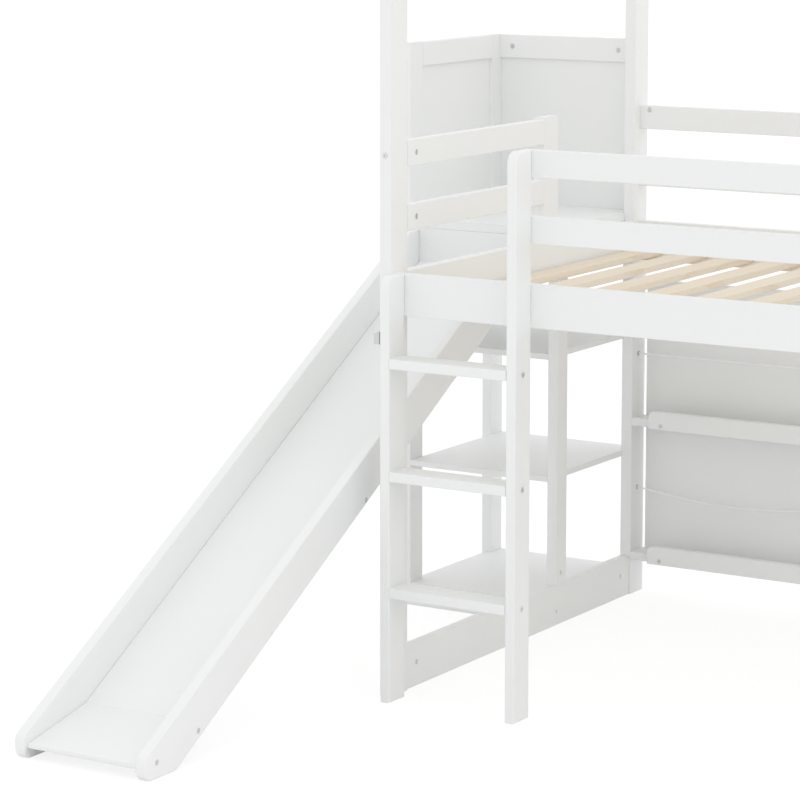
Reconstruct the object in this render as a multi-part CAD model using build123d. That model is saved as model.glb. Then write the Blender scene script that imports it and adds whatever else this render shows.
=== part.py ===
from build123d import *
import math
import os

# A child's loft bed: bed frame and ladder, a tower with a platform and shelves, a slide, and a book rack.
# Millimetres. X runs along the bed from the tower's side, Y from the ladder's side to the back, Z up.
# The pieces are placed from the outer front corner of the front left post, on the floor.
# When they are written, the origin moves to the middle of the whole bed's outline, on the floor.

# Bed frame
inner_length = 1915.0
bed_depth = 1080.0
post_thickness = 26.0
post_width = 62.0
board_thickness = 18.0
rail_height = 84.0
rail_top = 849.0
rail_setback = 18.0
end_rail_thickness = 23.0
end_guard_thickness = 20.0
bottom_rail_height = 89.0
bottom_rail_thickness = 20.0
guard_height = 52.0
guard_top = 1106.0
lower_guard_top = 979.0
end_guard_length = 547.0
guard_post_rise = 4.0
edge_ease = 1.5

# Roof frame on the four posts
eaves_height = 1600.0
roof_angle = 40.0
rafter_depth = 62.0

# Slats and the battens that carry them
slat_width = 51.0
slat_thickness = 14.0
slat_count = 17
slat_drop = 60.0
slat_start = 7.0
slat_end = 57.0
slat_clearance = 1.0
batten_width = 20.0
batten_height = 12.0

# Ladder
stile_depth = 59.0
stile_thickness = 21.0
ladder_width = 262.0
rung_tops = (232.0, 465.0, 688.5)
rung_thickness = 20.0
rung_setback = 1.0
stile_corner = 22.0
stile_ease = 3.0

# Tower beside the bed's left end
tower_width = 370.0
tower_front = 672.5
tower_back_setback = 2.0
tower_post_thickness = 23.0
tower_post_width = 52.0
middle_post_width = 46.0
tower_top = 1251.0
platform_thickness = 18.0
panel_rail_height = 52.5
back_rail_thickness = 16.0
infill_thickness = 9.0
infill_recess = 7.0
shelf_tops = (50.5, 328.5, 596.0)
shelf_thickness = 12.5
shelf_seat = 14.0
pin_radius = 2.5
pin_length = 18.0
pin_depth = 9.0
pin_inset = 22.0

# Slide
slide_width = 301.0
slide_board_thickness = 23.0
slide_board_height = 84.0
slide_reach = 1307.5
slide_seat_rise = 1.2
slide_foot_length = 90.0
slide_foot_radius = 20.0
slide_top_drop = 4.0
slide_edge_round = 3.0
deck_thickness = 7.5
deck_rise = 1.5
deck_side_ease = 2.5
deck_end_ease = 0.8
crease_reach = 95.5
runout_setback = 9.0
runout_front_height = 29.0

# Book rack under the bed, at the back
rack_panel_gap = 9.5
rack_panel_thickness = 9.0
rack_panel_drop = 136.0
ledge_tops = (98.0, 405.5)
lip_height = 40.0
lip_start = 51.0
lip_corner = 13.0

# Restraint cords, their eyes on the panel and their rings in the posts. Each bend takes the same share of the
# shorter run beside it.
cord_heights = (242.5, 548.0)
cord_radius = 2.0
cord_depth = 30.0
cord_bays = 4
bend_share = 0.45
eye_radius = 5.0
eye_wire = 1.4
ring_radius = 4.5
ring_length = 6.0
ring_rim_radius = 5.7
ring_rim = 1.0
ring_bore_clearance = 0.5
knot_radius = 4.0
cord_lead = 4.0

# Fasteners
bolt_radius = 3.0
bolt_head_radius = 6.0
bolt_head_depth = 2.5
socket_radius = 3.0
socket_depth = 1.8
socket_sides = 6
nut_radius = 5.5
nut_depth = 17.0
thin_nut_depth = 13.0
nut_slot_width = 1.4
nut_slot_depth = 1.2
nut_setback = 40.0
guard_nut_setback = 33.5
back_guard_nut_setback = 23.5
back_guard_nut_drop = 9.5
panel_nut_setback = 32.0
middle_nut_rise = 25.0
bottom_bolt_height = 49.0
plinth_bolt_height = 31.0
rail_bolt_spacing = 32.0
guard_bolt_spacing = 20.0
stud_depth = 30.0
long_screw = 100.0
short_screw = 45.0
screw_radius = 2.0
slide_screw_head_radius = 5.5
lip_screw_head_radius = 4.6
screw_head_depth = 2.0
screw_length = 48.0
deck_screw_shares = (0.4994, 0.9293)
heel_screw_reach = 75.0
runout_screw_setback = 35.0
lip_screw_start = 82.0
lip_screw_length = 40.0
lip_screw_count = 5
clearance = 0.15

# Small metal bracket beside the front left post
bracket_width = 12.0
bracket_height = 26.0
bracket_slant = 5.0
bracket_top = 734.0
bracket_thickness = 3.0
bracket_seat = 20.0

# Places that follow from the sizes
bed_length = inner_length + 2 * post_thickness
right_inner = bed_length - post_thickness
back_inner = bed_depth - post_width
tower_right = post_thickness - end_rail_thickness
tower_left = tower_right - tower_width
tower_post_inner = tower_left + tower_post_thickness
tower_back = bed_depth - tower_back_setback
platform_top = rail_top + platform_thickness
slope = (rail_top - rail_height + slide_seat_rise) / slide_reach
along_slope = math.cos(math.atan(slope))
slide_heel = tower_front - slide_reach
slide_front = slide_heel - slide_foot_length
guard_end = post_width + end_guard_length

pieces = {}


def block(x, y, z):
    """A square-edged block that fills three (low, high) spans."""
    size = [high - low for low, high in (x, y, z)]
    place = [(high + low) / 2 for low, high in (x, y, z)]
    return Pos(*place) * Box(*size)


def board(x, y, z, grain):
    """A planed board: the four edges along its grain are eased."""
    return fillet(block(x, y, z).edges().filter_by(grain), edge_ease)


def mirrored(span, size):
    """The same span, counted from the other end of a size."""
    return (size - span[1], size - span[0])


def middle(span):
    return (span[0] + span[1]) / 2


def below(top, height):
    return (top - height, top)


def across(outline, x):
    """A solid with an outline in Y and Z, as thick as the x span."""
    face = Plane.YZ * Polygon(*outline, align=None)
    return Pos(x[0], 0, 0) * extrude(face, amount=x[1] - x[0])


def rounded_corner(solid, axis, point, radius):
    """Rounds the one edge along the axis that lies nearest to the point."""
    edge = solid.edges().filter_by(axis).sort_by_distance(point)[0]
    return fillet(edge, radius)


def rod(point, way, radius, length):
    """A round bar that starts at the point and runs along the way."""
    return extrude(Plane(origin=point, z_dir=way) * Circle(radius), amount=length)


def moved(point, way, distance):
    return tuple(p + w * distance for p, w in zip(point, way))


# Bed frame

left_posts_x = (0, post_thickness)
right_posts_x = mirrored(left_posts_x, bed_length)
front_posts_y = (0, post_width)
back_posts_y = mirrored(front_posts_y, bed_depth)
rail_z = below(rail_top, rail_height)
guard_z = below(guard_top, guard_height)
lower_guard_z = below(lower_guard_top, guard_height)
front_rail_y = (rail_setback, rail_setback + board_thickness)
back_rail_y = mirrored(front_rail_y, bed_depth)
between_posts_x = (post_thickness, right_inner)
between_posts_y = (post_width, back_inner)
end_rail_x = (tower_right, post_thickness)
bottom_rail_x = (tower_right, tower_right + bottom_rail_thickness)
end_guard_x = (post_thickness - end_guard_thickness, post_thickness)
guard_post_y = (guard_end, guard_end + post_width)

for side, x in (("left", left_posts_x), ("right", right_posts_x)):
    for face, y in (("front", front_posts_y), ("back", back_posts_y)):
        pieces[f"post_{face}_{side}"] = [board(x, y, (0, eaves_height), Axis.Z)]

for face, y in (("front", front_rail_y), ("back", back_rail_y)):
    pieces[f"rail_{face}"] = [board(between_posts_x, y, rail_z, Axis.X)]

for side, turn in (("left", lambda x: x), ("right", lambda x: mirrored(x, bed_length))):
    pieces[f"rail_end_{side}"] = [board(turn(end_rail_x), between_posts_y, rail_z, Axis.Y)]
    bottom_z = (0, bottom_rail_height)
    pieces[f"rail_bottom_{side}"] = [board(turn(bottom_rail_x), between_posts_y, bottom_z, Axis.Y)]

stile_y = (rail_setback - stile_depth, rail_setback)
short_stile_x = (post_thickness, post_thickness + stile_thickness)
tall_stile_x = (short_stile_x[1] + ladder_width, short_stile_x[1] + ladder_width + stile_thickness)
front_guard_x = (tall_stile_x[0], right_inner)

for level, z in (("upper", guard_z), ("lower", lower_guard_z)):
    pieces[f"guard_front_{level}"] = [board(front_guard_x, front_rail_y, z, Axis.X)]
    pieces[f"guard_back_{level}"] = [board(between_posts_x, back_rail_y, z, Axis.X)]
    pieces[f"guard_left_{level}"] = [board(end_guard_x, (post_width, guard_end), z, Axis.Y)]
    right_x = mirrored(end_guard_x, bed_length)
    pieces[f"guard_right_{level}"] = [board(right_x, between_posts_y, z, Axis.Y)]

guard_post_z = (rail_top, guard_top + guard_post_rise)
pieces["guard_left_post"] = [board(left_posts_x, guard_post_y, guard_post_z, Axis.Z)]

# Slats on battens

slat_top = rail_top - slat_drop
slat_z = below(slat_top, slat_thickness)
batten_z = below(slat_z[0], batten_height)
slat_y = (front_rail_y[1] + slat_clearance, back_rail_y[0] - slat_clearance)
slat_pitch = (inner_length - slat_start - slat_width - slat_end) / (slat_count - 1)
slats = []
for number in range(slat_count):
    slat_x = post_thickness + slat_start + number * slat_pitch
    slats.append(board((slat_x, slat_x + slat_width), slat_y, slat_z, Axis.Y))
pieces["slats"] = slats

front_batten_y = (front_rail_y[1], front_rail_y[1] + batten_width)
platform_batten_x = (tower_right - batten_width, tower_right)
platform_batten_y = (tower_front + middle_post_width, back_inner)
pieces["support_battens"] = [
    block(between_posts_x, front_batten_y, batten_z),
    block(between_posts_x, mirrored(front_batten_y, bed_depth), batten_z),
    block(platform_batten_x, platform_batten_y, below(rail_top, batten_height)),
]

# Ladder


def stile(x, top):
    """An upright of the ladder, with its front corner rounded at the top."""
    solid = rounded_corner(block(x, stile_y, (0, top)), Axis.X, (x[0], stile_y[0], top), stile_corner)
    return fillet(solid.faces().filter_by(Axis.X).edges(), stile_ease)


pieces["ladder_stile_short"] = [stile(short_stile_x, rail_top)]
pieces["ladder_stile_tall"] = [stile(tall_stile_x, guard_top)]
rung_x = (short_stile_x[1], tall_stile_x[0])
rung_y = (stile_y[0], stile_y[1] - rung_setback)
for number, top in enumerate(rung_tops):
    pieces[f"ladder_rung_{number + 1}"] = [board(rung_x, rung_y, below(top, rung_thickness), Axis.X)]

# Tower

tower_post_x = (tower_left, tower_post_inner)
tower_front_post_y = (tower_front, tower_front + tower_post_width)
tower_rear_post_y = (tower_back - tower_post_width, tower_back)
middle_post_y = (tower_front, tower_front + middle_post_width)
pieces["tower_post_front"] = [board(tower_post_x, tower_front_post_y, (0, tower_top), Axis.Z)]
pieces["tower_post_rear"] = [board(tower_post_x, tower_rear_post_y, (0, tower_top), Axis.Z)]
pieces["tower_post_middle"] = [board(end_rail_x, middle_post_y, (bottom_rail_height, rail_z[0]), Axis.Z)]

tower_span_x = (tower_post_inner, tower_right)
back_span_x = (tower_post_inner, 0)
side_span_y = (tower_front_post_y[1], tower_rear_post_y[0])
fascia_y = (tower_front, tower_front + board_thickness)
back_rail_span_y = (tower_back - back_rail_thickness, tower_back)
side_rail_x = (tower_left, tower_left + board_thickness)
panel_rail_z = below(tower_top, panel_rail_height)
pieces["tower_fascia"] = [board(tower_span_x, fascia_y, rail_z, Axis.X)]
pieces["tower_rail_left"] = [board(side_rail_x, side_span_y, rail_z, Axis.Y)]
pieces["tower_rail_back"] = [board(back_span_x, back_rail_span_y, rail_z, Axis.X)]
pieces["side_panel_rail"] = [board(tower_post_x, side_span_y, panel_rail_z, Axis.Y)]
pieces["back_panel_rail"] = [board(back_span_x, back_rail_span_y, panel_rail_z, Axis.X)]

plinth_z = (0, shelf_tops[0] - shelf_thickness)
pieces["tower_plinths"] = [
    block(tower_span_x, fascia_y, plinth_z),
    block(side_rail_x, side_span_y, plinth_z),
    block(back_span_x, back_rail_span_y, plinth_z),
]

infill_z = (platform_top, panel_rail_z[0])
side_infill_x = (tower_post_inner - infill_recess - infill_thickness, tower_post_inner - infill_recess)
back_infill_y = (tower_back - infill_thickness, tower_back)
pieces["side_panel"] = [block(side_infill_x, side_span_y, infill_z)]
pieces["back_panel"] = [block(back_span_x, back_infill_y, infill_z)]

posts_to_clear = [
    block(tower_post_x, tower_front_post_y, (0, tower_top)),
    block(tower_post_x, tower_rear_post_y, (0, tower_top)),
    block(left_posts_x, back_posts_y, (0, eaves_height)),
]


def tower_level(left, top, thickness):
    """A platform or shelf that fills the tower from its left edge, cut out round the posts."""
    sheet = block((left, tower_right), (tower_front, tower_back), below(top, thickness))
    for post in posts_to_clear:
        sheet -= post
    return sheet


pieces["platform_board"] = [tower_level(tower_left, platform_top, platform_thickness)]
shelf_lefts = (tower_post_inner - shelf_seat, tower_post_inner, tower_post_inner)
for name, left, top in zip(("bottom", "middle", "top"), shelf_lefts, shelf_tops):
    pieces[f"shelf_{name}"] = [tower_level(left, top, shelf_thickness)]

# Shelf pins stand half in the posts and half under a corner of each shelf.
pin_seats = [
    (tower_post_inner, tower_front + pin_inset, 1),
    (tower_post_inner, tower_back - pin_inset, 1),
    (tower_right, tower_front + pin_inset, -1),
    (0, back_inner + pin_inset, -1),
]
pins = []
pin_rooms = []
for top in shelf_tops[1:]:
    for x, y, way in pin_seats:
        start = (x - way * pin_depth, y, top - shelf_thickness - pin_radius)
        pins.append(rod(start, (way, 0, 0), pin_radius, pin_length))
        room_start = (start[0] - way * clearance, start[1], start[2])
        pin_rooms.append(rod(room_start, (way, 0, 0), pin_radius + clearance, pin_depth + clearance))
pieces["shelf_pins"] = pins

# Slide


def underside(y):
    """Height of the slide boards' sloping lower edge."""
    return (y - slide_heel) * slope


def above_underside(y, height):
    """Height of a line that runs the given distance above the lower edge, square to the slope."""
    return underside(y) + height / along_slope


slide_top = rail_top - slide_top_drop
top_cut = slide_heel + (slide_top - slide_board_height / along_slope) / slope
slide_outline = [
    (slide_front, 0),
    (slide_heel, 0),
    (tower_front, underside(tower_front)),
    (tower_front, slide_top),
    (top_cut, slide_top),
    (slide_front, above_underside(slide_front, slide_board_height)),
]


def slide_board(x):
    """A side board of the slide, with a rounded foot, and rounded edges along its top and its upper end."""
    solid = across(slide_outline, x)
    for corner in (slide_outline[0], slide_outline[-1]):
        solid = rounded_corner(solid, Axis.X, (x[0],) + corner, slide_foot_radius)
    upper = []
    for edge in solid.faces().filter_by(Axis.X).edges():
        place = edge.center()
        on_slope = abs(place.Z - underside(place.Y)) < edge_ease
        on_floor = place.Z < edge_ease
        if not (on_slope or on_floor):
            upper.append(edge)
    return fillet(upper, slide_edge_round)


far_board_x = (tower_post_inner, tower_post_inner + slide_board_thickness)
near_board_x = (tower_post_inner + slide_width - slide_board_thickness, tower_post_inner + slide_width)
pieces["slide_board_far"] = [slide_board(far_board_x)]
pieces["slide_board_near"] = [slide_board(near_board_x)]

deck_x = (far_board_x[1], near_board_x[0])
deck_top = deck_rise + deck_thickness
crease = slide_heel + crease_reach
crease_z = above_underside(crease, deck_top)
runout_front = slide_front + runout_setback
runout_slope = (crease_z - runout_front_height) / (crease - runout_front)
runout_drop = deck_thickness / math.cos(math.atan(runout_slope))


def runout_underside(y):
    return runout_front_height + (y - runout_front) * runout_slope - runout_drop


# The two boards meet at a mitre under the crease.
deck_drop = deck_thickness / along_slope
mitre = crease + (runout_drop - deck_drop) / (runout_slope - slope)
mitre_z = runout_underside(mitre)
deck_outline = [
    (mitre, mitre_z),
    (tower_front, above_underside(tower_front, deck_rise)),
    (tower_front, above_underside(tower_front, deck_top)),
    (crease, crease_z),
]
runout_outline = [
    (runout_front, runout_underside(runout_front)),
    (mitre, mitre_z),
    (crease, crease_z),
    (runout_front, runout_front_height),
]


def slide_sheet(outline):
    """A sheet between the side boards, with its upper edges eased along the boards and at its ends."""
    solid = across(outline, deck_x)
    for along_boards, ease in ((True, deck_side_ease), (False, deck_end_ease)):
        top = max(solid.faces(), key=lambda face: face.normal_at().Z)
        eased = [edge for edge in top.edges() if (edge.center().X in deck_x) == along_boards]
        solid = fillet(eased, ease)
    return solid


pieces["slide_deck"] = [slide_sheet(deck_outline)]
pieces["slide_runout"] = [slide_sheet(runout_outline)]

# Book rack

rack_panel_x = (post_thickness + rack_panel_gap, right_inner - rack_panel_gap)
rack_panel_y = (bed_depth - rack_panel_thickness, bed_depth)
rack_panel_z = (ledge_tops[0], rail_top - rack_panel_drop)
pieces["rack_panel"] = [block(rack_panel_x, rack_panel_y, rack_panel_z)]
pieces["rack_ledges"] = [
    board(between_posts_x, (back_inner, rack_panel_y[1]), below(ledge_tops[0], board_thickness), Axis.X),
    board(between_posts_x, (back_inner, rack_panel_y[0]), below(ledge_tops[1], board_thickness), Axis.X),
]
lip_x = (post_thickness + lip_start, right_inner - lip_start)
lip_y = (back_inner - board_thickness, back_inner)


def lip(top):
    """A lip along a ledge's front edge, with its upper corners rounded."""
    z = (top - board_thickness, top - board_thickness + lip_height)
    solid = block(lip_x, lip_y, z)
    for x in lip_x:
        solid = rounded_corner(solid, Axis.Y, (x, lip_y[0], z[1]), lip_corner)
    return fillet(solid.faces().filter_by(Axis.Y).edges(), edge_ease)


pieces["rack_lips"] = [lip(top) for top in ledge_tops]

# Rings: a rimmed sleeve is pressed into the inner face of each back post at each cord's ends.

cord_y = back_inner + cord_depth
bay = inner_length / cord_bays


def cord_ring(seat, way):
    """A rimmed sleeve in a post, with a bore for the cord and its rim on the post's face."""
    rim = rod(moved(seat, way, ring_rim), moved((0, 0, 0), way, -1), ring_rim_radius, ring_rim)
    sleeve = rod(seat, moved((0, 0, 0), way, -1), ring_radius, ring_length)
    bore = rod(moved(seat, way, ring_rim), moved((0, 0, 0), way, -1), cord_radius + ring_bore_clearance,
               ring_rim + ring_length)
    return rim + sleeve - bore


rings = []
knots = []
ring_rooms = []
knot_depth = ring_length + clearance + knot_radius
for z in cord_heights:
    for x, way in ((post_thickness, (1, 0, 0)), (right_inner, (-1, 0, 0))):
        seat = (x, cord_y, z)
        rings.append(cord_ring(seat, way))
        knots.append(Pos(*moved(seat, way, -knot_depth)) * Sphere(knot_radius))
        ring_rooms.append(rod(seat, moved((0, 0, 0), way, -1), ring_radius + clearance,
                              knot_depth + knot_radius + clearance))
pieces["cord_rings"] = rings
pieces["cord_knots"] = knots

# Screw eyes in the panel between the posts

eyes = []
eye_rooms = []
panel_face_gap = rack_panel_y[0] - cord_y
panel_eye_thread = rack_panel_thickness - edge_ease
for z in cord_heights:
    for number in range(1, cord_bays):
        seat = (post_thickness + number * bay, rack_panel_y[0], z)
        shank = rod(moved(seat, (0, 1, 0), panel_eye_thread), (0, -1, 0), eye_wire,
                    panel_eye_thread + panel_face_gap - eye_radius)
        ring = Plane(origin=(seat[0], cord_y, z), z_dir=(1, 0, 0)) * Torus(eye_radius, eye_wire)
        eyes.append(shank + ring)
        eye_rooms.append(rod(seat, (0, 1, 0), eye_wire + clearance, panel_eye_thread + clearance))
pieces["screw_eyes"] = eyes

# Each cord runs from knot to knot, out through the rings.

cord_start = post_thickness - ring_length - clearance
cord_end = bed_length - cord_start
upper_cord_start = (cord_start, cord_y, cord_heights[1])
pieces["cord_upper"] = [rod(upper_cord_start, (1, 0, 0), cord_radius, cord_end - cord_start)]

# The lower cord hangs slack between its eyes and rests on their wire. Each bay repeats one hand-set sag,
# given as shares of the bay's length and distances down from the eyes.
sag_shares = [
    (0.1, 6.5),
    (0.2, 12.5),
    (0.3, 17.5),
    (0.4, 20.8),
    (0.5, 22.0),
    (0.6, 20.8),
    (0.7, 17.8),
    (0.8, 14.0),
    (0.9, 8.0),
]
bay_sag = [(share * bay, sag) for share, sag in sag_shares]
eye_rest = eye_radius - eye_wire - cord_radius - clearance
route = [(cord_start, cord_heights[0]), (post_thickness + cord_lead, cord_heights[0])]
for number in range(cord_bays):
    bay_start = post_thickness + number * bay
    is_last = number == cord_bays - 1
    for along, sag in bay_sag:
        route.append((bay_start + along, cord_heights[0] - sag))
    if not is_last:
        for side in (-eye_radius, eye_radius):
            route.append((bay_start + bay + side, cord_heights[0] - eye_rest))
route += [(right_inner - cord_lead, cord_heights[0]), (cord_end, cord_heights[0])]
points = [Vector(x, cord_y, z) for x, z in route]
radii = []
for before, here, after in zip(points, points[1:], points[2:]):
    turn = math.radians((here - before).get_angle(after - here))
    shorter_run = min((here - before).length, (after - here).length)
    radii.append(bend_share * shorter_run / math.tan(turn / 2))
print("cord radii", [round(radius) for radius in radii])
cord_line = FilletPolyline(*points, radius=radii)
cord_section = Plane(origin=cord_line @ 0, z_dir=cord_line % 0) * Circle(cord_radius)
cord_tube = sweep(cord_section, path=cord_line)
print("cord length", round(cord_line.length, 1), "volume share of section times length",
      round(cord_tube.volume / (math.pi * cord_radius ** 2 * cord_line.length), 5))
pieces["cord_lower"] = [cord_tube]

# Roof frame

roof_slope = math.tan(math.radians(roof_angle))
rafter_rise = rafter_depth / math.cos(math.radians(roof_angle))
ridge_y = bed_depth / 2


def rafter_underside(y):
    return eaves_height + (y - post_width) * roof_slope


rafter_outline = [
    (0, eaves_height),
    (post_width, eaves_height),
    (ridge_y, rafter_underside(ridge_y)),
    (ridge_y, rafter_underside(ridge_y) + rafter_rise),
    (0, rafter_underside(0) + rafter_rise),
]
other_outline = [(bed_depth - y, z) for y, z in reversed(rafter_outline)]
pieces["roof_rafters"] = [
    across(outline, x) for x in (left_posts_x, right_posts_x) for outline in (rafter_outline, other_outline)
]
eaves_z = below(eaves_height, rafter_depth)
ridge_beam_y = (ridge_y - board_thickness / 2, ridge_y + board_thickness / 2)
ridge_top = rafter_underside(ridge_beam_y[0]) + rafter_rise
pieces["roof_beams"] = [
    board(between_posts_x, front_rail_y, eaves_z, Axis.X),
    board(between_posts_x, back_rail_y, eaves_z, Axis.X),
    board(between_posts_x, ridge_beam_y, below(ridge_top, rafter_depth), Axis.X),
]

# Bracket: a folded plate, slanted at its top, whose foot is fixed to the post's outer side

bracket_z = below(bracket_top, bracket_height)
bracket_outline = [
    (0, bracket_z[0]),
    (0, bracket_z[1]),
    (-bracket_width, bracket_z[1] - bracket_slant),
    (-bracket_width, bracket_z[0]),
]
bracket_face = Plane.XZ * Polygon(*bracket_outline, align=None)
pieces["side_bracket"] = [
    block((-bracket_thickness, 0), (0, bracket_seat), bracket_z) + extrude(bracket_face, amount=bracket_thickness)
]

# Fasteners. Each adds a solid and cuts its room out of every wooden piece that it passes.

bolts = []
nuts = []
screws = []
rooms = pin_rooms + eye_rooms + ring_rooms


def add_bolt(point, way, reach):
    """A socket-head bolt whose head is let in flush at the point."""
    body = rod(point, way, bolt_head_radius, bolt_head_depth) + rod(point, way, bolt_radius, reach)
    hexagon = Plane(origin=point, z_dir=way) * RegularPolygon(socket_radius, socket_sides)
    socket = extrude(hexagon, amount=socket_depth)
    bolts.append(body - socket)
    rooms.append(rod(point, way, bolt_head_radius + clearance, bolt_head_depth + clearance)
                 + rod(point, way, bolt_radius + clearance, reach + clearance))


def add_stud(point, way, reach):
    """A headless stud, set blind in the wood at both ends."""
    bolts.append(rod(point, way, bolt_radius, reach))
    start = moved(point, way, -clearance)
    rooms.append(rod(start, way, bolt_radius + clearance, reach + 2 * clearance))


def add_nut(point, way, depth, slot_way):
    """A barrel nut let in flush at the point, with a screwdriver slot in its face."""
    body = rod(point, way, nut_radius, depth)
    cutter = Plane(origin=point, x_dir=slot_way, z_dir=way) * Box(
        2 * nut_radius, nut_slot_width, 2 * nut_slot_depth)
    nuts.append(body - cutter)
    rooms.append(rod(point, way, nut_radius + clearance, depth + clearance))


def add_screw(point, way, length, head_radius):
    """A small flat-head screw with a hexagon socket."""
    body = rod(point, way, head_radius, screw_head_depth) + rod(point, way, screw_radius, length)
    hexagon = Plane(origin=point, z_dir=way) * RegularPolygon(screw_radius, socket_sides)
    socket = extrude(hexagon, amount=screw_head_depth / 2)
    screws.append(body - socket)
    rooms.append(rod(point, way, head_radius + clearance, screw_head_depth + clearance)
                 + rod(point, way, screw_radius + clearance, length + clearance))


post_mid = post_thickness / 2
past_nut = nut_radius - edge_ease

# End boards, bolted through the posts into barrel nuts
for turn, sign in ((lambda x: x, 1), (lambda x: bed_length - x, -1)):
    for head_y, way, nut_y in ((0, 1, post_width + nut_setback), (bed_depth, -1, back_inner - nut_setback)):
        reach = post_width + nut_setback + past_nut
        add_bolt((turn(post_mid), head_y, bottom_bolt_height), (0, way, 0), reach)
        add_nut((turn(bottom_rail_x[1]), nut_y, bottom_bolt_height), (-sign, 0, 0), nut_depth, (0, 0, 1))
        add_bolt((turn(post_mid), head_y, middle(rail_z)), (0, way, 0), reach)
        add_nut((turn(tower_right), nut_y, middle(rail_z)), (sign, 0, 0), nut_depth, (0, 0, 1))

guard_reach = post_width + guard_nut_setback + past_nut
add_bolt((post_mid, 0, middle(guard_z)), (0, 1, 0), guard_reach)
add_stud((post_mid, post_width - stud_depth, middle(lower_guard_z)), (0, 1, 0),
         stud_depth + guard_nut_setback + past_nut)
for z in (guard_z, lower_guard_z):
    add_nut((post_thickness, post_width + guard_nut_setback, middle(z)), (-1, 0, 0), nut_depth, (0, 0, 1))
    add_bolt((middle(end_guard_x), guard_post_y[1], middle(z)), (0, -1, 0), long_screw)
    right_bolt_z = middle(z) - guard_bolt_spacing / 2
    for head_y, way in ((0, 1), (bed_depth, -1)):
        add_bolt((bed_length - post_mid, head_y, right_bolt_z), (0, way, 0), long_screw)
add_bolt((middle(end_rail_x), middle(guard_post_y), rail_z[0]), (0, 0, 1), rail_height + stud_depth)

# Long boards, bolted along the bed
for y, inner_face, nut_way in ((front_rail_y, front_rail_y[1], -1), (back_rail_y, back_rail_y[0], 1)):
    for turn, sign in ((lambda x: x, 1), (lambda x: bed_length - x, -1)):
        heights = [middle(rail_z) - rail_bolt_spacing / 2, middle(rail_z) + rail_bolt_spacing / 2]
        for z in heights + [middle(eaves_z)]:
            reach = post_thickness + nut_setback + past_nut
            add_bolt((turn(0), middle(y), z), (sign, 0, 0), reach)
            nut_x = turn(post_thickness + nut_setback)
            add_nut((nut_x, inner_face, z), (0, nut_way, 0), thin_nut_depth, (0, 0, 1))

for guard in (guard_z, lower_guard_z):
    for y in (middle(front_rail_y), middle(back_rail_y)):
        add_bolt((bed_length, y, middle(guard) + guard_bolt_spacing / 2), (-1, 0, 0), long_screw)
    back_reach = post_thickness + back_guard_nut_setback + past_nut
    back_nut_z = guard[1] - back_guard_nut_drop
    add_bolt((0, middle(back_rail_y), back_nut_z), (1, 0, 0), back_reach)
    nut_x = post_thickness + back_guard_nut_setback
    add_nut((nut_x, back_rail_y[0], back_nut_z), (0, 1, 0), thin_nut_depth, (0, 0, 1))
    add_bolt((middle(tall_stile_x), front_rail_y[1], middle(guard)), (0, -1, 0), short_screw)

# Ladder
for x in (short_stile_x, tall_stile_x):
    add_bolt((middle(x), front_rail_y[1], middle(rail_z)), (0, -1, 0), short_screw)
for top in rung_tops:
    z = top - rung_thickness / 2
    add_bolt((short_stile_x[0], middle(stile_y) - post_mid, z), (1, 0, 0), short_screw)
    add_bolt((tall_stile_x[1], middle(stile_y), z), (-1, 0, 0), short_screw)

# Tower
add_bolt((bottom_rail_x[1], middle(fascia_y), plinth_bolt_height), (-1, 0, 0), long_screw)
middle_nut_z = bottom_rail_height + middle_nut_rise
middle_bolt_y = tower_front + pin_inset
add_bolt((middle(bottom_rail_x), middle_bolt_y, 0), (0, 0, 1), middle_nut_z + past_nut)
add_nut((post_thickness, middle_bolt_y, middle_nut_z), (-1, 0, 0), nut_depth, (0, 1, 0))
for y, z in ((fascia_y, rail_z), (back_rail_span_y, rail_z), (back_rail_span_y, panel_rail_z)):
    reach = tower_post_thickness + panel_nut_setback + past_nut
    add_bolt((tower_left, middle(y), middle(z)), (1, 0, 0), reach)
panel_bolt_z = middle(panel_rail_z)
for x in (tower_post_inner + panel_nut_setback, -nut_setback):
    add_nut((x, back_rail_span_y[0], panel_bolt_z), (0, 1, 0), thin_nut_depth, (0, 0, 1))
stud_length = post_mid + nut_setback + past_nut
add_stud((post_mid, middle(back_rail_span_y), panel_bolt_z), (-1, 0, 0), stud_length)
for z in (rail_z, panel_rail_z):
    side_bolt_z = middle(z) - guard_bolt_spacing
    add_bolt((middle(side_rail_x), tower_back, side_bolt_z), (0, -1, 0), long_screw)

# Slide: bolts from behind the fascia, and screws into the edges of the deck
for x in (far_board_x, near_board_x):
    slide_bolt_z = slide_top - slide_board_height / 2
    add_bolt((middle(x), fascia_y[1], slide_bolt_z), (0, -1, 0), board_thickness + short_screw)
for x, way in ((far_board_x[0], 1), (near_board_x[1], -1)):
    runout_screw_y = runout_front + runout_screw_setback - runout_setback
    runout_screw_z = runout_underside(runout_screw_y) + runout_drop / 2
    add_screw((x, runout_screw_y, runout_screw_z), (way, 0, 0), screw_length, slide_screw_head_radius)
    heel_screw_y = slide_heel + heel_screw_reach
    heel_screw_z = runout_underside(heel_screw_y) + runout_drop / 2
    add_screw((x, heel_screw_y, heel_screw_z), (way, 0, 0), screw_length, slide_screw_head_radius)
    for share in deck_screw_shares:
        y = slide_heel + slide_reach * share
        z = above_underside(y, deck_rise + deck_thickness / 2)
        add_screw((x, y, z), (way, 0, 0), screw_length, slide_screw_head_radius)

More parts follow.
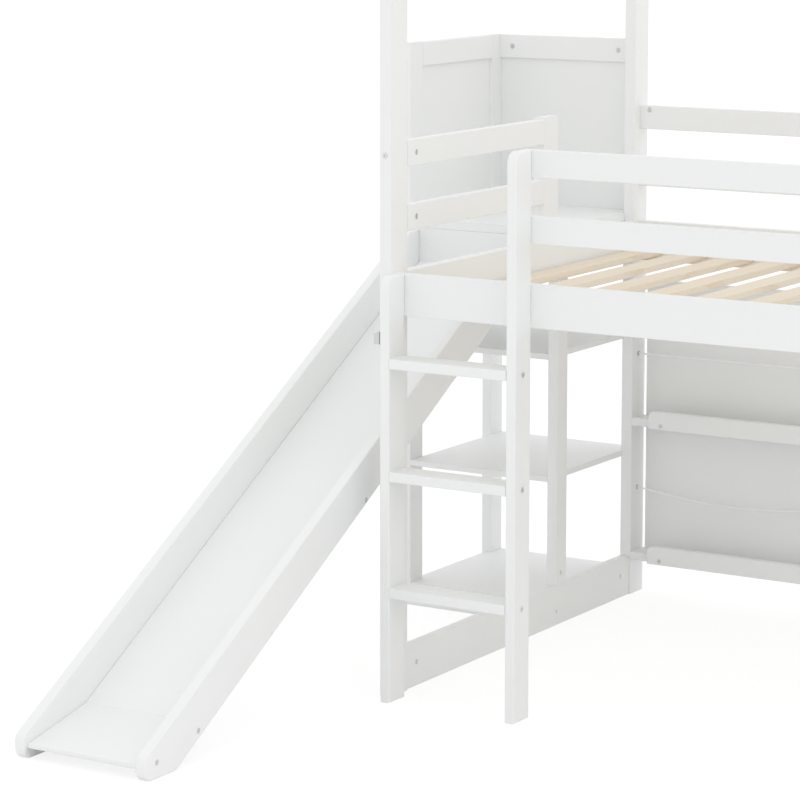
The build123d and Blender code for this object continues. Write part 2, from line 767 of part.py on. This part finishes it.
# Book rack
for top in ledge_tops:
    z = top - board_thickness / 2
    for x, way in ((0, 1), (bed_length, -1)):
        add_bolt((x, back_inner + pin_inset, z), (way, 0, 0), long_screw)
    pitch = (lip_x[1] - lip_x[0] - 2 * (lip_screw_start - lip_start)) / (lip_screw_count - 1)
    for number in range(lip_screw_count):
        x = post_thickness + lip_screw_start + number * pitch
        add_screw((x, lip_y[0], z), (0, 1, 0), lip_screw_length, lip_screw_head_radius)


def boxes_meet(one, other):
    """Whether two bounding boxes share some space."""
    return all(
        getattr(one.min, k) < getattr(other.max, k) and getattr(other.min, k) < getattr(one.max, k)
        for k in ("X", "Y", "Z")
    )


whole = ("shelf_pins", "screw_eyes", "cord_rings", "cord_knots", "cord_upper", "cord_lower", "side_bracket")
rooms_boxed = [(room, room.bounding_box()) for room in rooms]
for name in pieces:
    if name in whole:
        continue
    cut_solids = []
    for solid in pieces[name]:
        box = solid.bounding_box()
        near = [room for room, room_box in rooms_boxed if boxes_meet(box, room_box)]
        cut_solids.append(solid - near if near else solid)
    pieces[name] = cut_solids

# The bolts pass through the barrel nuts.
bored_nuts = []
for nut in nuts:
    box = nut.bounding_box()
    shanks = [bolt for bolt in bolts if boxes_meet(box, bolt.bounding_box())]
    bored_nuts.append(nut - shanks if shanks else nut)
pieces["bolts"] = bolts
pieces["barrel_nuts"] = bored_nuts
pieces["screws"] = screws

# Written about the middle of the outline, on the floor

centre = Pos(-(tower_left + bed_length) / 2, -(slide_front + bed_depth) / 2, 0)
os.makedirs("parts", exist_ok=True)
for name, solids in pieces.items():
    placed = [centre * found for solid in solids for found in solid.solids()]
    export_step(Compound(placed), f"parts/{name}.step")
print(len(pieces), "nodes")
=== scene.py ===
import math

import bpy
from mathutils import Euler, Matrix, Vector


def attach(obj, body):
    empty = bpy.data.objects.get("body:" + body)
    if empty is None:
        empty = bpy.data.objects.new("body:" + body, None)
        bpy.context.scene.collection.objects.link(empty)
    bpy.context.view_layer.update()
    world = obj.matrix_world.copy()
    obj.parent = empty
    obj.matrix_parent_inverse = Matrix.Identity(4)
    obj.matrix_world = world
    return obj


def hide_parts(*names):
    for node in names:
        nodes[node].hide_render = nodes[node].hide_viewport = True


# The looks of a child's loft bed with a ladder, a tower, a slide and a book rack.
# Metres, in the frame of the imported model: X along the bed, Y to the back, Z up from the floor.

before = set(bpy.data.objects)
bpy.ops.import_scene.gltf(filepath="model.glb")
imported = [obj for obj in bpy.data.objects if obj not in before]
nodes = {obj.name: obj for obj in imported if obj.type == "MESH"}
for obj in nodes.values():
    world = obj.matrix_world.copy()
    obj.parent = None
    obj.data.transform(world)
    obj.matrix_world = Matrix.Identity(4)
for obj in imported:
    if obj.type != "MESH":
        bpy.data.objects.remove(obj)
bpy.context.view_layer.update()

# Turns that lay a board's grain along Z

QUARTER = math.radians(90)
SLIDE_SLOPE = math.radians(30.37)
ROOF_SLOPE = math.radians(40.0)
ALONG_X = (0.0, -QUARTER, 0.0)
ALONG_Y = (QUARTER, 0.0, 0.0)
ALONG_Z = (0.0, 0.0, 0.0)
ALONG_SLIDE = (QUARTER - SLIDE_SLOPE, 0.0, 0.0)
ALONG_RAFTER = (QUARTER + ROOF_SLOPE, 0.0, 0.0)

# Sockets of the Mix node when it blends colours

MIX_SHARE, MIX_FIRST, MIX_SECOND, MIX_RESULT = 0, 6, 7, 2


# Shader trees

def add(tree, kind, inputs=None, **settings):
    """A node with its settings, and with values or links given to its inputs by name or number."""
    node = tree.nodes.new(kind)
    for name, value in settings.items():
        setattr(node, name, value)
    for name, value in (inputs or {}).items():
        socket = node.inputs[name]
        if isinstance(value, bpy.types.NodeSocket):
            tree.links.new(value, socket)
        else:
            socket.default_value = value
    return node


def calc(tree, operation, first, second=0.0, third=0.0):
    """The result of one Math node."""
    return add(tree, "ShaderNodeMath", {0: first, 1: second, 2: third}, operation=operation).outputs[0]


def calc_vector(tree, operation, *values):
    """One Vector Math node."""
    return add(tree, "ShaderNodeVectorMath", dict(enumerate(values)), operation=operation)


def colour(red, green, blue):
    """An opaque colour."""
    return (red, green, blue, 1.0)


def grey(tone):
    """An opaque grey."""
    return colour(tone, tone, tone)


def blend(tree, share, first, second):
    """A colour between two others."""
    inputs = {MIX_SHARE: share, MIX_FIRST: first, MIX_SECOND: second}
    return add(tree, "ShaderNodeMix", inputs, data_type="RGBA").outputs[MIX_RESULT]


def noise(tree, place, repeats, detail):
    """Soft noise with so many repeats in a metre. They may differ along each axis."""
    scale = repeats
    if isinstance(repeats, tuple):
        place = calc_vector(tree, "MULTIPLY", place, repeats).outputs[0]
        scale = 1.0
    return add(tree, "ShaderNodeTexNoise", {"Vector": place, "Scale": scale, "Detail": detail}).outputs


def ramp(tree, value, start, end, curve="LINEAR"):
    """0 at the start value and 1 at the end value."""
    inputs = {"Value": value, "From Min": start, "From Max": end}
    return add(tree, "ShaderNodeMapRange", inputs, interpolation_type=curve).outputs["Result"]


def bumped(tree, height, depth, strength, **normal):
    """A normal that follows the height, starting from another normal where one is given."""
    inputs = {"Height": height, "Distance": depth, "Strength": strength, **normal}
    return add(tree, "ShaderNodeBump", inputs).outputs[0]


def surface_point(tree):
    """The point on the surface, in the object's own frame."""
    return add(tree, "ShaderNodeTexCoord").outputs["Object"]


def turned(tree, place, turn):
    """The place, turned about the origin."""
    return add(tree, "ShaderNodeMapping", {"Vector": place, "Rotation": turn}).outputs[0]


def effect(name, inputs, outputs):
    """An empty node group with named sockets: its tree, its inputs and its output node."""
    group = bpy.data.node_groups.new(name, "ShaderNodeTree")
    for way, sockets in (("INPUT", inputs), ("OUTPUT", outputs)):
        for socket, kind in sockets:
            group.interface.new_socket(socket, in_out=way, socket_type=kind)
    start = group.nodes.new("NodeGroupInput")
    return group, start.outputs, group.nodes.new("NodeGroupOutput")


def placed(tree, group, inputs):
    """The outputs of a node group that is set in a material."""
    return add(tree, "ShaderNodeGroup", inputs, node_tree=group).outputs


def timber_grain():
    """Growth rings and fibres of sawn timber whose grain runs along Z."""
    bend_repeats = (9.0, 9.0, 1.1)
    bend_reach = (0.035, 0.035, 0.035)
    noise_middle = (0.5, 0.5, 0.5)
    late_wood_start = 0.45
    late_wood_end = 0.94
    fibre_repeats = (900.0, 900.0, 14.0)
    patch_repeats = (14.0, 14.0, 3.0)
    tree, given, result = effect(
        "timber_grain",
        [("Place", "NodeSocketVector"), ("Ring width", "NodeSocketFloat")],
        [("Rings", "NodeSocketFloat"), ("Fibres", "NodeSocketFloat"), ("Patches", "NodeSocketFloat")],
    )
    bend = noise(tree, given["Place"], bend_repeats, 2.0)["Color"]
    swing = calc_vector(tree, "SUBTRACT", bend, noise_middle).outputs[0]
    bent = calc_vector(tree, "MULTIPLY_ADD", swing, bend_reach, given["Place"]).outputs[0]
    flat = calc_vector(tree, "MULTIPLY", bent, (1.0, 1.0, 0.0)).outputs[0]
    distance = calc_vector(tree, "LENGTH", flat).outputs["Value"]
    part = calc(tree, "FRACT", calc(tree, "DIVIDE", distance, given["Ring width"]))
    late = ramp(tree, part, late_wood_start, late_wood_end, "SMOOTHSTEP")
    early = ramp(tree, part, 1.0, late_wood_end, "SMOOTHSTEP")
    fibres = noise(tree, given["Place"], fibre_repeats, 3.0)["Fac"]
    patches = noise(tree, given["Place"], patch_repeats, 1.0)["Fac"]
    tree.links.new(calc(tree, "MULTIPLY", late, early), result.inputs["Rings"])
    tree.links.new(fibres, result.inputs["Fibres"])
    tree.links.new(patches, result.inputs["Patches"])
    return tree


def paint_film():
    """The fine dimples of sprayed paint, and where it lies thicker."""
    thickness_repeats = 6.0
    tree, given, result = effect(
        "paint_film",
        [("Place", "NodeSocketVector"), ("Dimple size", "NodeSocketFloat")],
        [("Dimples", "NodeSocketFloat"), ("Thickness", "NodeSocketFloat")],
    )
    dimple_repeats = calc(tree, "DIVIDE", 1.0, given["Dimple size"])
    dimples = noise(tree, given["Place"], dimple_repeats, 1.0)["Fac"]
    thickness = noise(tree, given["Place"], thickness_repeats, 2.0)["Fac"]
    tree.links.new(dimples, result.inputs["Dimples"])
    tree.links.new(thickness, result.inputs["Thickness"])
    return tree


def rubbed_edge():
    """A broken mask of the sharp edges, and a normal that rounds them."""
    edge_radius = 0.0016
    bevel_samples = 6
    flat_from = 0.995
    sharp_from = 0.80
    wear_repeats = 45.0
    wear_from, wear_to = 0.35, 0.75
    tree, given, result = effect(
        "rubbed_edge",
        [("Place", "NodeSocketVector")],
        [("Edge", "NodeSocketFloat"), ("Rounded normal", "NodeSocketVector")],
    )
    rounded = add(tree, "ShaderNodeBevel", {"Radius": edge_radius}, samples=bevel_samples).outputs[0]
    face = add(tree, "ShaderNodeNewGeometry").outputs["Normal"]
    along = calc_vector(tree, "DOT_PRODUCT", rounded, face).outputs["Value"]
    edge = ramp(tree, along, flat_from, sharp_from)
    broken = noise(tree, given["Place"], wear_repeats, 3.0)["Fac"]
    worn = ramp(tree, broken, wear_from, wear_to)
    tree.links.new(calc(tree, "MULTIPLY", edge, worn), result.inputs["Edge"])
    tree.links.new(rounded, result.inputs["Rounded normal"])
    return tree


GRAIN = timber_grain()
FILM = paint_film()
EDGE = rubbed_edge()


# Materials

def blank_material(name):
    """A material with an empty tree, and the tree."""
    material = bpy.data.materials.new(name)
    material.use_nodes = True
    material.node_tree.nodes.clear()
    return material, material.node_tree


def finished(material, inputs):
    """The material, with a Principled shader that takes these inputs."""
    tree = material.node_tree
    shader = add(tree, "ShaderNodeBsdfPrincipled", inputs)
    add(tree, "ShaderNodeOutputMaterial", {"Surface": shader.outputs[0]})
    return material


def white_paint(name, turn, grain_depth, folded_at=None):
    """Satin white paint. The grain below it shows faintly, and its edges are a little rubbed.

    Where a value of Y is given, the boards on both sides of it mirror each other's grain.
    """
    ring_width = 0.006
    dimple_size = 0.0022
    thin_paint = colour(0.884, 0.895, 0.891)
    thick_paint = colour(0.904, 0.915, 0.911)
    rubbed_paint = colour(0.84, 0.835, 0.82)
    rubbed_share = 0.35
    roughness = 0.50
    thick_paint_smooths = -0.12
    fibres_roughen = 0.05
    rings_sink = -0.6
    bump_depth = 0.00006
    bump_strength = 0.6

    material, tree = blank_material(name)
    point = surface_point(tree)
    if folded_at is not None:
        parts = add(tree, "ShaderNodeSeparateXYZ", {0: point}).outputs
        across = calc(tree, "ABSOLUTE", calc(tree, "SUBTRACT", parts["Y"], folded_at))
        point = add(tree, "ShaderNodeCombineXYZ", {"X": parts["X"], "Y": across, "Z": parts["Z"]}).outputs[0]
    place = turned(tree, point, turn)
    grain = placed(tree, GRAIN, {"Place": place, "Ring width": ring_width})
    film = placed(tree, FILM, {"Place": place, "Dimple size": dimple_size})
    edge = placed(tree, EDGE, {"Place": place})

    shade = blend(tree, film["Thickness"], thin_paint, thick_paint)
    shade = blend(tree, calc(tree, "MULTIPLY", edge["Edge"], rubbed_share), shade, rubbed_paint)
    gloss = calc(tree, "MULTIPLY_ADD", film["Thickness"], thick_paint_smooths, roughness)
    gloss = calc(tree, "MULTIPLY_ADD", grain["Fibres"], fibres_roughen, gloss)
    height = calc(tree, "MULTIPLY_ADD", grain["Rings"], rings_sink * grain_depth, film["Dimples"])
    height = calc(tree, "MULTIPLY_ADD", grain["Fibres"], grain_depth, height)
    normal = bumped(tree, height, bump_depth, bump_strength, Normal=edge["Rounded normal"])
    return finished(material, {"Base Color": shade, "Roughness": gloss, "Normal": normal})


def bare_pine(name, turn, first, pitch, pith):
    """Planed bare pine. Each board along X has its own rings, because its pith is somewhere else."""
    pith_spread = (0.12, 3.0, 0.03)
    ring_width = 0.0045
    early_wood = colour(0.88, 0.80, 0.68)
    early_wood_patch = colour(0.85, 0.76, 0.625)
    deep_board = colour(0.82, 0.71, 0.55)
    deep_board_share = 0.35
    late_wood = colour(0.74, 0.585, 0.41)
    late_wood_share = 0.42
    streaked_wood = colour(0.76, 0.61, 0.44)
    streak_share = 0.14
    rubbed_wood = colour(0.88, 0.80, 0.67)
    rubbed_share = 0.25
    roughness = 0.68
    rings_smooth = -0.12
    ring_height = 0.5
    fibre_height = 0.7
    bump_depth = 0.00015
    bump_strength = 0.5

    material, tree = blank_material(name)
    parts = add(tree, "ShaderNodeSeparateXYZ", {0: surface_point(tree)}).outputs
    from_first = calc(tree, "SUBTRACT", parts["X"], first)
    number = calc(tree, "FLOOR", calc(tree, "DIVIDE", from_first, pitch))
    chance = add(tree, "ShaderNodeTexWhiteNoise", {"W": number}, noise_dimensions="1D").outputs
    own_pith = calc_vector(tree, "MULTIPLY_ADD", chance["Color"], pith_spread, pith).outputs[0]
    in_board = calc(tree, "MULTIPLY_ADD", number, -pitch, parts["X"])
    point = add(tree, "ShaderNodeCombineXYZ", {"X": in_board, "Y": parts["Y"], "Z": parts["Z"]}).outputs[0]
    place = turned(tree, calc_vector(tree, "ADD", point, own_pith).outputs[0], turn)
    grain = placed(tree, GRAIN, {"Place": place, "Ring width": ring_width})
    edge = placed(tree, EDGE, {"Place": place})

    shade = blend(tree, grain["Patches"], early_wood, early_wood_patch)
    for mask, share, tone in (
        (chance["Value"], deep_board_share, deep_board),
        (grain["Rings"], late_wood_share, late_wood),
        (grain["Fibres"], streak_share, streaked_wood),
        (edge["Edge"], rubbed_share, rubbed_wood),
    ):
        shade = blend(tree, calc(tree, "MULTIPLY", mask, share), shade, tone)
    gloss = calc(tree, "MULTIPLY_ADD", grain["Rings"], rings_smooth, roughness)
    height = calc(tree, "MULTIPLY", grain["Rings"], ring_height)
    height = calc(tree, "MULTIPLY_ADD", grain["Fibres"], fibre_height, height)
    normal = bumped(tree, height, bump_depth, bump_strength, Normal=edge["Rounded normal"])
    return finished(material, {"Base Color": shade, "Roughness": gloss, "Normal": normal})


def zinc_steel(name, dull_tone, bright_tone):
    """Zinc on small steel parts, with fine turning marks and duller patches."""
    mark_repeats = (1500.0, 1500.0, 9000.0)
    patch_repeats = 350.0
    roughness = 0.26
    patches_roughen = 0.22
    bump_depth = 0.00002
    bump_strength = 0.7

    material, tree = blank_material(name)
    place = surface_point(tree)
    marks = noise(tree, place, mark_repeats, 2.0)["Fac"]
    patches = noise(tree, place, patch_repeats, 2.0)["Fac"]
    shade = blend(tree, patches, grey(dull_tone), grey(bright_tone))
    gloss = calc(tree, "MULTIPLY_ADD", patches, patches_roughen, roughness)
    normal = bumped(tree, marks, bump_depth, bump_strength)
    return finished(material, {"Base Color": shade, "Metallic": 1.0, "Roughness": gloss, "Normal": normal})


def braided_cord():
    """A thin white braid: two sets of strands cross on its surface."""
    strand_lean = math.radians(50.0)
    strand_scale = 210.0
    strand_waver = 0.4
    # The valleys between the strands are painted a little darker than the crests. This is painted shade in
    # the braid's creases.
    shaded_valley = colour(0.93, 0.95, 0.97)
    crest = colour(0.95, 0.97, 0.99)
    roughness = 0.86
    crests_smooth = -0.08
    sheen = 1.0
    bump_depth = 0.0001
    bump_strength = 0.15

    material, tree = blank_material("braided_cord")
    place = surface_point(tree)
    strands = []
    for lean in (strand_lean, -strand_lean):
        inputs = {"Vector": turned(tree, place, (0.0, lean, lean)), "Scale": strand_scale,
                  "Distortion": strand_waver}
        strands.append(add(tree, "ShaderNodeTexWave", inputs, wave_type="BANDS").outputs["Fac"])
    weave = calc(tree, "MAXIMUM", *strands)
    shade = blend(tree, weave, shaded_valley, crest)
    gloss = calc(tree, "MULTIPLY_ADD", weave, crests_smooth, roughness)
    normal = bumped(tree, weave, bump_depth, bump_strength)
    return finished(material, {
        "Base Color": shade, "Roughness": gloss, "Sheen Weight": sheen, "Normal": normal})


# Which finish each board takes. The grain runs along the board, and is faint on panels.

bed_middle_y = 0.3625
board_grain = 0.9
panel_grain = 0.12
slat_first = -0.774
slat_pitch = 0.1125
slat_pith = (-0.06, 0.0, -0.83)
batten_start = -2.0
batten_room = 5.0
batten_pith = (0.0, 0.02, -0.74)
paint_on_x = white_paint("white_paint_along_x", ALONG_X, board_grain)
paint_on_y = white_paint("white_paint_along_y", ALONG_Y, board_grain)
paint_on_z = white_paint("white_paint_along_z", ALONG_Z, board_grain)
paint_on_slide = white_paint("white_paint_on_slide_boards", ALONG_SLIDE, board_grain)
paint_on_rafter = white_paint("white_paint_on_rafters", ALONG_RAFTER, board_grain, folded_at=bed_middle_y)
paint_on_panel = white_paint("white_paint_on_panels", ALONG_Z, panel_grain)
pine_slats = bare_pine("bare_pine_slats", ALONG_Y, slat_first, slat_pitch, slat_pith)
pine_battens = bare_pine("bare_pine_battens", ALONG_X, batten_start, batten_room, batten_pith)
# Two copies of one zinc that differ only in tone. The lighter copy on the bolts is painted light, for the
# light on their heads. The darker copy is painted shade, for the shade in the recessed nuts, and the other
# small parts share it.
zinc_painted_lit_copy = zinc_steel("zinc_painted_lit", 0.72, 0.83)
zinc_painted_shade_copy = zinc_steel("zinc_painted_shade", 0.60, 0.72)
braid = braided_cord()

FINISHES = [
    (paint_on_x, [
        "rail_front", "rail_back", "guard_front_upper", "guard_front_lower", "guard_back_upper",
        "guard_back_lower", "ladder_rung_1", "ladder_rung_2", "ladder_rung_3", "tower_fascia",
        "tower_rail_back", "back_panel_rail", "tower_plinths", "rack_ledges", "rack_lips", "roof_beams"]),
    (paint_on_y, [
        "rail_end_left", "rail_end_right", "rail_bottom_left", "rail_bottom_right", "guard_left_upper",
        "guard_left_lower", "guard_right_upper", "guard_right_lower", "tower_rail_left",
        "side_panel_rail"]),
    (paint_on_z, [
        "post_front_left", "post_back_left", "post_front_right", "post_back_right", "guard_left_post",
        "ladder_stile_short", "ladder_stile_tall", "tower_post_front", "tower_post_rear",
        "tower_post_middle"]),
    (paint_on_slide, ["slide_board_far", "slide_board_near"]),
    (paint_on_rafter, ["roof_rafters"]),
    (paint_on_panel, [
        "platform_board", "side_panel", "back_panel", "shelf_bottom", "shelf_middle", "shelf_top",
        "slide_deck", "slide_runout", "rack_panel"]),
    (pine_slats, ["slats"]),
    (pine_battens, ["support_battens"]),
    # The bolts take the painted-light copy of the zinc, and the nuts and other small parts take the
    # painted-shade copy.
    (zinc_painted_lit_copy, ["bolts"]),
    (zinc_painted_shade_copy, ["barrel_nuts", "screws", "screw_eyes", "shelf_pins", "cord_rings", "side_bracket"]),
    (braid, ["cord_knots"]),
]
for finish, names in FINISHES:
    for name in names:
        data = nodes[name].data
        data.materials.clear()
        data.materials.append(finish)


# Restraint cords of the book rack. Each bay's sag is given as (distance along the bay, drop).

cord_y = 0.8705
cord_thickness = 0.004
upper_eye_z = 0.548
lower_eye_z = 0.2425
eye_radius = 0.005
eye_rest = 0.00145
bay_length = 0.47875
first_bay = -0.774
bay_count = 4
bay_sag = [
    (0.0479, 0.0065),
    (0.0958, 0.0125),
    (0.1436, 0.0175),
    (0.1915, 0.0208),
    (0.2394, 0.0220),
    (0.2873, 0.0208),
    (0.3351, 0.0178),
    (0.3830, 0.0140),
    (0.4309, 0.0080),
]
knot_left, post_left = -0.78015, -0.770
post_right, knot_right = 1.137, 1.14715
upper_points = [(knot_left, cord_y, upper_eye_z), (knot_right, cord_y, upper_eye_z)]
lower_points = [(knot_left, cord_y, lower_eye_z), (post_left, cord_y, lower_eye_z)]
for number in range(bay_count):
    bay_start = first_bay + number * bay_length
    is_last = number == bay_count - 1
    for along, sag in bay_sag:
        lower_points.append((bay_start + along, cord_y, lower_eye_z - sag))
    if not is_last:
        for side in (-eye_radius, eye_radius):
            lower_points.append((bay_start + bay_length + side, cord_y, lower_eye_z - eye_rest))
lower_points += [(post_right, cord_y, lower_eye_z), (knot_right, cord_y, lower_eye_z)]


def cord_curve(name, points):
    """A round cord on one smooth curve."""
    data = bpy.data.curves.new(name, "CURVE")
    data.dimensions = "3D"
    data.bevel_depth = cord_thickness / 2
    data.bevel_resolution = 3
    data.resolution_u = 6
    data.use_fill_caps = True
    spline = data.splines.new("NURBS")
    spline.points.add(len(points) - 1)
    for control, point in zip(spline.points, points):
        control.co = (*point, 1.0)
    spline.order_u = 3
    spline.use_endpoint_u = True
    data.materials.append(braid)
    cord = bpy.data.objects.new(name, data)
    bpy.context.scene.collection.objects.link(cord)
    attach(cord, "root")
    return cord


upper_cord = cord_curve("book_cord_upper", upper_points)
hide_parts("cord_upper")
lower_cord = cord_curve("book_cord_lower", lower_points)
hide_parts("cord_lower")


# Floor and room. Seen directly they are white, but the floor still takes a soft shadow.

floor_half = 40.0
floor_tone = 0.95
shadow_tone = 0.26
floor_glow = 0.80
room_light = 0.945


def seen_directly(tree):
    """1 where a ray comes from the camera, a mirror or glass, and 0 elsewhere."""
    path = add(tree, "ShaderNodeLightPath").outputs
    first = calc(tree, "MAXIMUM", path["Is Camera Ray"], path["Is Glossy Ray"])
    return calc(tree, "MAXIMUM", first, path["Is Transmission Ray"])


floor_data = bpy.data.meshes.new("floor")
corners = [(x * floor_half, y * floor_half, 0.0) for x, y in ((-1, -1), (1, -1), (1, 1), (-1, 1))]
floor_data.from_pydata(corners, [], [(0, 1, 2, 3)])
floor = bpy.data.objects.new("floor", floor_data)
bpy.context.scene.collection.objects.link(floor)

floor_finish, tree = blank_material("pale_floor")
lit = add(tree, "ShaderNodeBsdfDiffuse", {"Color": grey(floor_tone)})
shadow_catching = add(tree, "ShaderNodeBsdfDiffuse", {"Color": grey(shadow_tone)})
glow = add(tree, "ShaderNodeEmission", {"Color": grey(1.0), "Strength": floor_glow})
shown = add(tree, "ShaderNodeAddShader", {0: shadow_catching.outputs[0], 1: glow.outputs[0]})
either = add(tree, "ShaderNodeMixShader", {0: seen_directly(tree), 1: lit.outputs[0], 2: shown.outputs[0]})
add(tree, "ShaderNodeOutputMaterial", {"Surface": either.outputs[0]})
floor_data.materials.append(floor_finish)

world = bpy.data.worlds.new("studio")
world.use_nodes = True
bpy.context.scene.world = world
tree = world.node_tree
tree.nodes.clear()
strength = calc(tree, "MULTIPLY_ADD", seen_directly(tree), 1.0 - room_light, room_light)
surround = add(tree, "ShaderNodeBackground", {"Color": grey(1.0), "Strength": strength})
add(tree, "ShaderNodeOutputWorld", {"Surface": surround.outputs[0]})


# A wide soft light from the right, and the camera at the photograph's place

light_strength = 0.25
light_width = math.radians(70)
light_from = Vector((0.95, -0.15, 1.0))
sensor_width = 36.0
focal_length = 140.443
shift_down = -0.14
camera_place = (2.4245, -5.2890, 1.6745)
camera_tilt = math.radians(8.0503)
camera_turn = math.radians(31.8673)

soft_light = bpy.data.lights.new("soft_panel", "SUN")
soft_light.energy = light_strength
soft_light.angle = light_width
panel = bpy.data.objects.new("soft_panel", soft_light)
panel.rotation_euler = light_from.to_track_quat("Z", "Y").to_euler()
bpy.context.scene.collection.objects.link(panel)

lens = bpy.data.cameras.new("photograph")
lens.sensor_width = sensor_width
lens.lens = focal_length
lens.shift_y = shift_down
camera = bpy.data.objects.new("photograph", lens)
camera.location = camera_place
camera.rotation_euler = Euler((QUARTER - camera_tilt, 0.0, camera_turn))
bpy.context.scene.collection.objects.link(camera)
bpy.context.scene.camera = camera
bpy.context.scene.view_settings.view_transform = "Standard"
